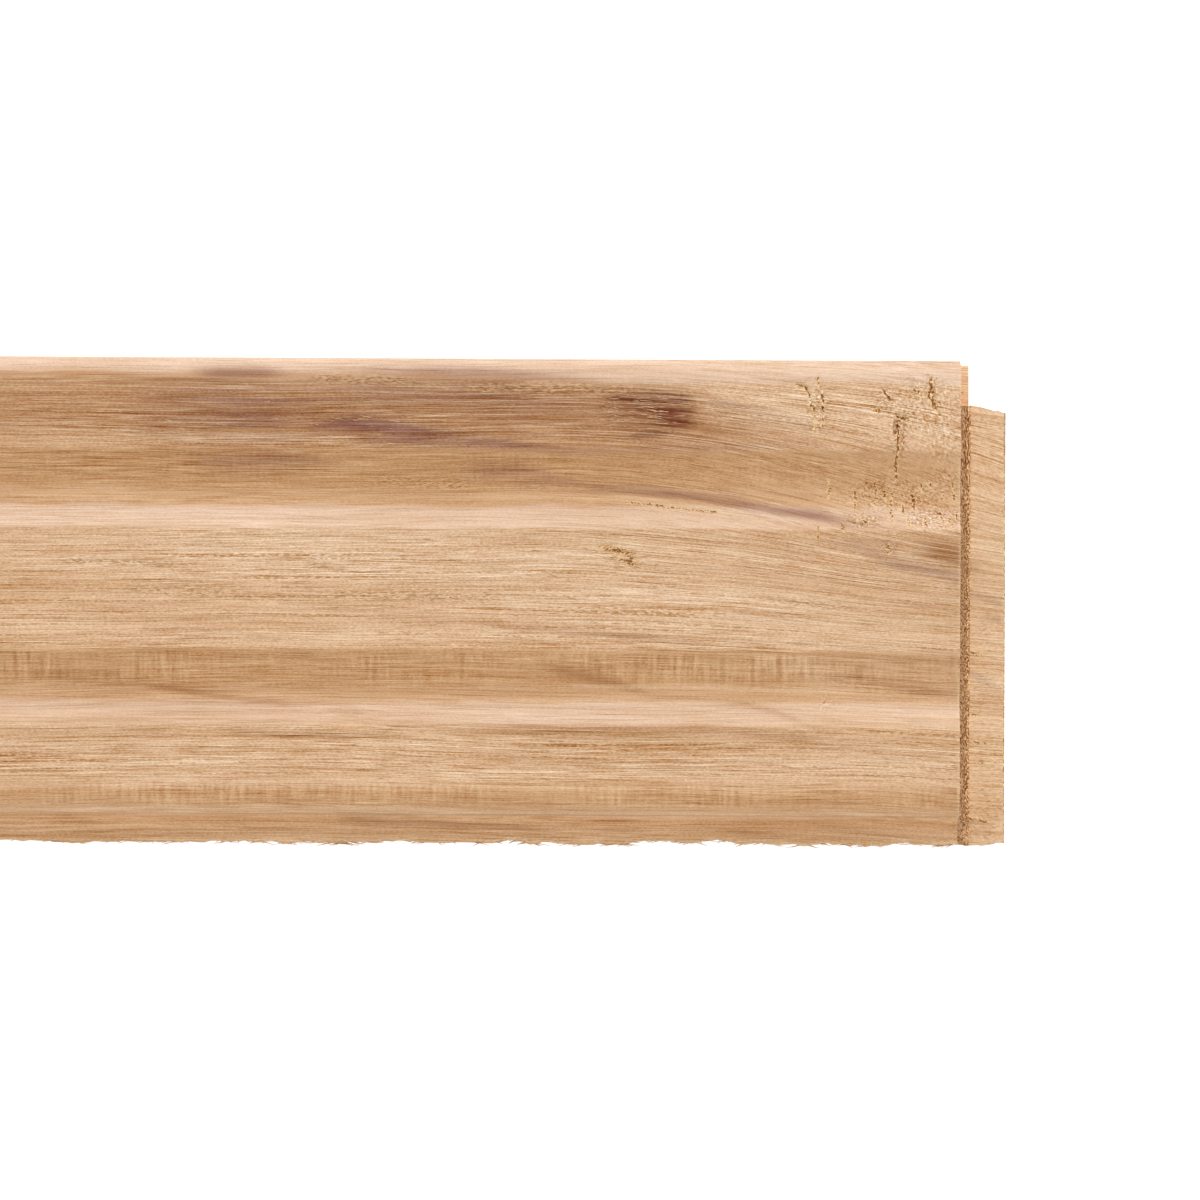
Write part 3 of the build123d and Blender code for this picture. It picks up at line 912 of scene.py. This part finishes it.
def layers(colour, several):
    """A colour under several layers, each a mask, its strength and its colour."""
    for mask, strength, above in several:
        colour = laid(colour, times(mask, strength), srgb(*above))
    return colour


# The ground colour: tan sapwood, paler in some bands. Painted highlight makes it paler where the
# underside faces the lamp, on wood the cutters smoothed, and painted shade makes it browner where
# it faces away, on wood they left fuzzy. Over it lie the stains, frayed along the fibres.
land = painted("land")
streaky = plus(times(grain_lines(16, 0.42, 0.36, 0.62, 23, 4), 0.75), 0.5)
softly = plus(times(grain_lines(26, 2.4, 0.3, 0.7, 24, 3), 0.7), 0.5)
colour = laid(srgb(224, 184, 146), grain_lines(160, 7, 0.3, 0.7, 3, 3), srgb(212, 170, 130))
colour = layers(colour, [
    (times(painted("pale"), streaky), 0.8, (233, 199, 166)),
    (times(painted("warm"), streaky), 1.05, (176, 127, 86)),
    # Painted shade where the underside faces away from the lamp, painted highlight where it faces it
    (painted("shaded"), 0.8, (205, 157, 110)),
    (painted("highlight_and_burnish"), 0.85, (226, 194, 168)),
    # The side tongue is painted paler: painted light that lifts the shoulder's shadow on it
    (painted("tongue"), 0.9, (243, 197, 150)),
    (painted("end_tongue"), 0.7, (230, 193, 154)),
    (times(painted("brown"), streaky), 0.85, (158, 106, 62)),
    (times(painted("heartwood"), softly), 0.85, (138, 92, 78)),
    (times(painted("mineral"), streaky), 1.1, (116, 58, 38)),
])

# Fine figure, as a tone that darkens or lightens the colour. It is strongest on the rough lands.
tongues = plus(painted("tongue"), painted("end_tongue"))
rough = plus(times(land, 0.55), 0.45)
rough = plus(rough, times(plus(painted("shaded"), tongues), 0.35))
liveliness = plus(grain_lines(70, 4.5, 0.3, 0.7, 9, 1), 0.35)
streaks = times(noise_about_zero(90, 1.1, 11, 2), 0.28)
threads = times(noise_about_zero(38, 0.14, 12, 1), 0.6)
fuzz = times(noise_about_zero(6, 0.11, 13, 0), 0.7)
specks = times(noise_about_zero(0.5, 0.14, 14, 0), 0.5)
patches = times(noise_about_zero(30, 3, 15, 1), 0.25)
lines = times(plus(threads, fuzz), liveliness)
tone = plus(times(plus(lines, specks), rough), plus(streaks, patches))
tone = plus(tone, times(noise_about_zero(24, 0.5, 17, 2), times(tongues, 0.45)))
pores = grain_lines(16, 0.17, 0.64, 0.7, 51, 0)
tone = minus(tone, times(pores, times(rough, 0.15)))

# Pale hairs on the lands, and rows of open pores filled with fine orange dust, with pale rims
hairs = grain_lines(22, 0.17, 0.6, 0.68, 37, 0)
pore_rows = times(grain_lines(60, 0.45, 0.68, 0.72, 71, 0), grain_lines(0.9, 0.3, 0.42, 0.52, 72, 0))
open_pores = times(painted("open_pores"), grain_lines(0.9, 0.2, 0.52, 0.6, 73, 0))
pore_rims = times(painted("open_pores"), grain_lines(1.1, 0.2, 0.54, 0.64, 74, 0))

# Torn grain: crumbs, pale broken fibres beside the cracks, painted shade in the cracks, a torn arris
crumbs = noise_about_zero(0.42, 0.34, 16, 1)
tone = plus(tone, times(painted("crumbled"), times(crumbs, 1.8)))
torn = minus(painted("tear"), times(crumbs, 1.5))
in_tear = ramp(painted("tear"), 0.08, 0.3, "LINEAR")
frayed = times(ramp(torn, 0.3, 0.6), in_tear)
crack_shade = times(ramp(torn, 0.7, 0.86), in_tear)
colour = layers(colour, [
    (times(hairs, land), 0.35, (238, 206, 170)),
    (times(pore_rows, land), 0.7, (178, 124, 62)),
    (open_pores, 0.7, (140, 88, 44)),
    (pore_rims, 0.35, (236, 200, 144)),
    (frayed, 0.6, (238, 200, 146)),
    # Painted shade down in the cracks
    (crack_shade, 0.9, (144, 84, 32)),
    (painted("arris"), 0.5, (240, 208, 170)),
])

# Cutter marks across the grain, in short runs
crossing = node(wood_tree, "Mapping", {"Vector": space, "Scale": (1.3, 0.16, 0.2)})
runs = plus(grain_lines(18, 9, 0.42, 0.56, 81, 0), 0.35)
cross_marks = times(times(painted("chatter"), minus(noise(crossing, 2.0), 0.5)), runs)
tone = plus(tone, times(cross_marks, 0.6))

# End grain is darker and dotted with pores. The end slope's foot is torn, with bright fibres.
normal = node(wood_tree, "NewGeometry", {}, "Normal")
facing = node(wood_tree, "SeparateXYZ", {0: normal}, "X")
facing = node(wood_tree, "Math", {0: facing}, operation="ABSOLUTE")
# The end grain's colour is also laid over the side tongue's top beside the end slope, darker there
end_grain = larger(ramp(facing, 0.45, 0.75), times(painted("cut_tongue"), 0.75))
dots = noise(space, 3.0, Scale=2.2, Roughness=0.75)
dot_tone = minus(dots, 0.5)
tone = plus(tone, times(end_grain, times(dot_tone, 5.0)))
foot = ramp(plus(painted("foot"), times(dot_tone, 1.6)), 0.72, 0.95)
colour = layers(colour, [
    (end_grain, 0.92, (178, 132, 90)),
    (times(foot, end_grain), 0.8, (230, 180, 122)),
    # The far lip, deep in the side groove, is painted paler: painted light against the shade there
    (painted("far_lip"), 0.8, (240, 202, 162)),
    (painted("tip"), 0.6, (112, 98, 84)),
])

# More pigment darkens blue most and red least, so darker fibres are browner too
PIGMENT = (1.0, 1.6, 2.3)
pigment = node(
    wood_tree, "VectorMath", {0: PIGMENT, 1: tone, 2: (1, 1, 1)}, operation="MULTIPLY_ADD"
)
colour = laid(colour, 1.0, pigment, "MULTIPLY")

# Relief that is too fine for the mesh, in millimetres
relief = times(plus(plus(times(lines, 0.05), times(specks, 0.04)), times(hairs, 0.025)), rough)
for mask, height in (
    (pores, -0.03),
    (frayed, 0.06),
    (crack_shade, -0.02),
    (times(crumbs, painted("crumbled")), 0.25),
    (cross_marks, 0.08),
    (times(dots, end_grain), 0.3),
):
    relief = plus(relief, times(mask, height))
bump = node(wood_tree, "Bump", {"Strength": 1.0, "Distance": MM, "Height": relief})
values = {"Base Color": colour, "Normal": bump, "Specular IOR Level": 0.1}
values["Roughness"] = plus(0.78, times(pores, 0.1))
shader = node(wood_tree, "BsdfPrincipled", values)
node(wood_tree, "OutputMaterial", {"Surface": shader})
board_mesh.materials.append(wood)
board_mesh.shade_smooth()
board_mesh.set_sharp_from_angle(angle=math.radians(38))

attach(board, "root")
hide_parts("floorboard")

# Torn fibres: pale slivers and curls of the same wood that the cutters lifted but didn't cut
# off. They stand in the torn patches, round the dark mineral streak, on the arris and foot of
# the end slope, and along the tongue's ragged edge.
FIBRE_STEPS = 4
# Where each patch of fibres is (its middle back and down, its reach along and across), how many
# fibres it has, how long they are, and how wildly they point
FIBRE_PATCHES = [
    (10.6, 13.4, 1.5, 4.2, 90, 0.5, 1.2),
    (10.5, 10.3, 1.8, 1.3, 30, 0.5, 1.2),
    (5.2, 5.8, 1.6, 3.4, 40, 0.5, 1),
    (13.4, 6.8, 2.6, 2.4, 30, 0.6, 0.8),
    (25.6, 8.6, 2, 5.6, 50, 0.7, 0.6),
    (7, 27.9, 7, 3, 70, 0.6, 0.9),
    (17.2, 28.6, 4, 1.6, 40, 0.7, 0.5),
    (11, 22, 12, 5, 60, 0.5, 0.9),
    (12.8, 33.4, 1.2, 1.2, 12, 0.7, 0.8),
    (12, 10, 12, 8, 90, 0.8, 0.3),
    (56, 9.5, 7, 4, 70, 2.2, 0.05),
    (62.5, 9.5, 2.4, 3.2, 50, 1.2, 0.15),
    (59, 35.6, 4.5, 1.6, 24, 1.5, 0.1),
    (90, 9.5, 84, 6, 150, 1.8, 0.06),
    (86, 40, 86, 9, 150, 1.6, 0.08),
    (86, 71.5, 86, 5, 100, 1.6, 0.08),
]
HIGHEST_FIBRE = THICKNESS - 0.06
draw = np.random.RandomState(7)
steps = np.linspace(0, 1, FIBRE_STEPS)
fibre_points = []
fibre_faces = []
fibre_shades = []


def fibre(x, y, z, width, thickness, shade):
    """One thin tapering sliver of wood along this path, closed at both ends."""
    heading = np.gradient(np.stack([x, y], axis=1), axis=0)
    heading /= np.hypot(heading[:, 0], heading[:, 1])[:, None] + 1e-9
    taper = np.linspace(1, 0.25, FIBRE_STEPS)[:, None]
    side = np.stack([-heading[:, 1], heading[:, 0], 0 * x], axis=1) * width / 2 * taper
    up = np.array([0, 0, thickness / 2]) * taper
    first = len(fibre_points) * 4
    for middle, beside, above in zip(np.stack([x, y, z], axis=1), side, up):
        fibre_points.append([middle + beside, middle + above, middle - beside, middle - above])
    last = first + (FIBRE_STEPS - 1) * 4
    for ring_start in range(first, last, 4):
        for corner in range(4):
            a = ring_start + corner
            b = ring_start + (corner + 1) % 4
            fibre_faces.append((a, b, b + 4, a + 4))
    fibre_faces.append((first + 3, first + 2, first + 1, first))
    fibre_faces.append((last, last + 1, last + 2, last + 3))
    fibre_shades.extend([shade] * FIBRE_STEPS * 4)


for back, down, along, across, count, reach, wildness in FIBRE_PATCHES:
    offsets = np.clip(draw.normal(0, 0.5, (2, count, 1)), -1, 1)
    start_x = BACK_END - np.maximum(back + offsets[0] * along, 0.4)
    start_y = GROOVED_SIDE - down + offsets[1] * across
    length = reach * draw.uniform(0.4, 1.3, (count, 1))
    length *= draw.choice((-1, 1), (count, 1))
    heading = draw.normal(-0.06, wildness, (count, 1))
    curl = draw.normal(0, 0.05 + 0.4 * wildness, (count, 1))
    path_x = start_x + length * (steps * np.cos(heading) - curl * steps**2 * np.sin(heading))
    path_y = start_y + length * (steps * np.sin(heading) + curl * steps**2 * np.cos(heading))
    path_x = np.minimum(path_x, BACK_END - 0.1)
    lift = draw.uniform(0.04, 0.2, (count, 1)) * steps - 0.02
    path_z = np.minimum(underside(path_x, path_y) + lift, HIGHEST_FIBRE)
    for x, y, z in zip(path_x, path_y, path_z):
        fibre(x, y, z, draw.uniform(0.08, 0.16), 0.08, draw.uniform())

# Crumbs along the arris and the foot of the end slope
for across in draw.uniform(FACE_SHOULDER, GROOVE_FLOOR, 260):
    at_foot = draw.randint(2)
    x = BACK_END + 2.1 * at_foot + draw.uniform(-0.15, 0.1) + draw.uniform(0.15, 0.4) * steps
    y = across + draw.normal(0, 0.12) * steps
    if at_foot:
        height = np.where(x < BACK_END, underside(x, y), end_slope(x, y))
        z = np.minimum(np.maximum(height, END_TONGUE_TOP) + 0.12 * steps, HIGHEST_FIBRE)
    else:
        z = np.minimum(underside(x[:1], y[:1]) + 0.02 * steps, HIGHEST_FIBRE)
    fibre(x, y, z, 0.14, 0.08, draw.uniform())

# Whiskers on the tongue's ragged edge, thicker in a few tufts
TUFTS = (127.4, 117.0, 109.1, 77.6, 60.6, 1.9)
whisker_places = list(draw.uniform(0, 172, 240))
for tuft in TUFTS:
    whisker_places += list(tuft + draw.normal(0, 0.8, 14))
for back in whisker_places:
    start_x = BACK_END - back
    edge = FACE_SHOULDER - tongue_reach(np.array([start_x]))
    length = draw.uniform(0.6, 3.0) * draw.choice((-1, 1))
    out = draw.uniform(0.1, 0.75)
    y = np.maximum(edge + 0.15 - out * steps**1.3, -GROOVED_SIDE + 0.14)
    z = draw.uniform(11.5, TONGUE_TOP - 0.5) + draw.normal(0, 0.2) * steps
    fibre(start_x + length * steps, y, z, draw.uniform(0.1, 0.26), 0.3, draw.uniform(0, 0.7))

# Fibres that the cutter raised on the end tongue, mostly towards the side tongue
for _ in range(70):
    start_x = draw.uniform(FACE_END + 0.3, TIP - 1.2)
    start_y = FACE_SHOULDER + 42 * draw.uniform(0, 1) ** 1.6
    x = start_x + draw.uniform(0.3, 0.9) * steps
    y = start_y + draw.normal(0, 0.15) * steps
    z = END_TONGUE_TOP - 0.02 + draw.uniform(0.05, 0.25) * steps
    fibre(x, y, z, 0.12, 0.08, draw.uniform())

# The torn corner where the end slope meets the side tongue
for _ in range(90):
    start_x = BACK_END + draw.uniform(-1.2, 7.0)
    start_y = FACE_SHOULDER + draw.normal(-0.6, 1.4)
    heading = draw.uniform(-1.2, 0.6)
    length = draw.uniform(0.4, 1.3)
    x = np.minimum(start_x + length * steps * math.cos(heading), TIP - 0.2)
    y = np.maximum(start_y + length * steps * math.sin(heading), -GROOVED_SIDE + 0.9)
    z = TONGUE_TOP + draw.uniform(0.05, 0.4) * steps
    fibre(x, y, z, 0.16, 0.1, draw.uniform(0, 0.8))

# The splinter that sticks out of the far lip, beside the end tongue
splinter_x = BACK_END + 0.9 + 0.8 * steps
splinter_y = GROOVED_SIDE - 4.9 + 0.15 * steps
fibre(splinter_x, splinter_y, GROOVE_BOTTOM - 0.05 + 0.3 * steps, 0.5, 0.2, 0.1)

fibre_mesh = bpy.data.meshes.new("torn_fibres")
fibre_mesh.from_pydata(np.array(fibre_points).reshape(-1, 3) * MM, [], fibre_faces)
fibres = placed("torn_fibres", fibre_mesh)
shades = fibre_mesh.attributes.new("shade", "FLOAT", "POINT")
shades.data.foreach_set("value", np.array(fibre_shades, dtype=np.float32))
fibre_mesh.shade_smooth()

# Lifted fibres are the same bare wood, from pale to tan, mottled along each one
lifted = bare_material("lifted_fibres")
tree = lifted.node_tree
shade = node(tree, "Attribute", {}, "Fac", attribute_name="shade")
spot = node(tree, "TexCoord", {}, "Object")
strands = node(tree, "TexNoise", {"Vector": spot, "Scale": 3000.0, "Detail": 2.0}, "Fac")
mottled = node(tree, "Math", {0: strands, 1: 0.5, 2: shade}, operation="MULTIPLY_ADD")
mottled = node(tree, "Math", {0: mottled, 1: 0.25}, operation="SUBTRACT")
values = {0: mottled, 6: srgb(234, 198, 154), 7: srgb(178, 128, 82)}
tints = node(tree, "Mix", values, 2, data_type="RGBA")
bump = node(tree, "Bump", {"Strength": 0.5, "Distance": 0.05 * MM, "Height": strands})
values = {"Base Color": tints, "Roughness": 0.8, "Normal": bump, "Specular IOR Level": 0.2}
shader = node(tree, "BsdfPrincipled", values)
node(tree, "OutputMaterial", {"Surface": shader})
fibre_mesh.materials.append(lifted)

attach(fibres, "root")
